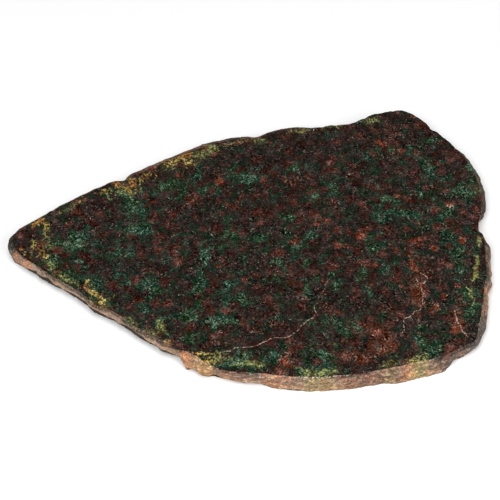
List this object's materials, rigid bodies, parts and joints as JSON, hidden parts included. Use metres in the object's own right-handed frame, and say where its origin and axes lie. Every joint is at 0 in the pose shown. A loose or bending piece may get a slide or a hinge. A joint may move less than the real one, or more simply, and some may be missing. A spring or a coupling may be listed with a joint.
{
  "type": "eclogite slab",
  "caption": "Flat sawn slab of garnet and omphacite rock with a polished upper face, a plain sawn underside and a natural weathered rim.",
  "frame": {"origin": "middle of the slab's bounding box, on the sawn face that it lies on", "axes": "+X along the slab's length, from its narrow tip to its broad end; +Z out of the polished face"},
  "size_m": [0.1822, 0.1332, 0.008],
  "materials": {
    "eclogite": "polished upper face, weathered rim, sawn underside"
  },
  "bodies": {
    "root": {"eclogite_slab": "eclogite"}
  },
  "joints": []
}
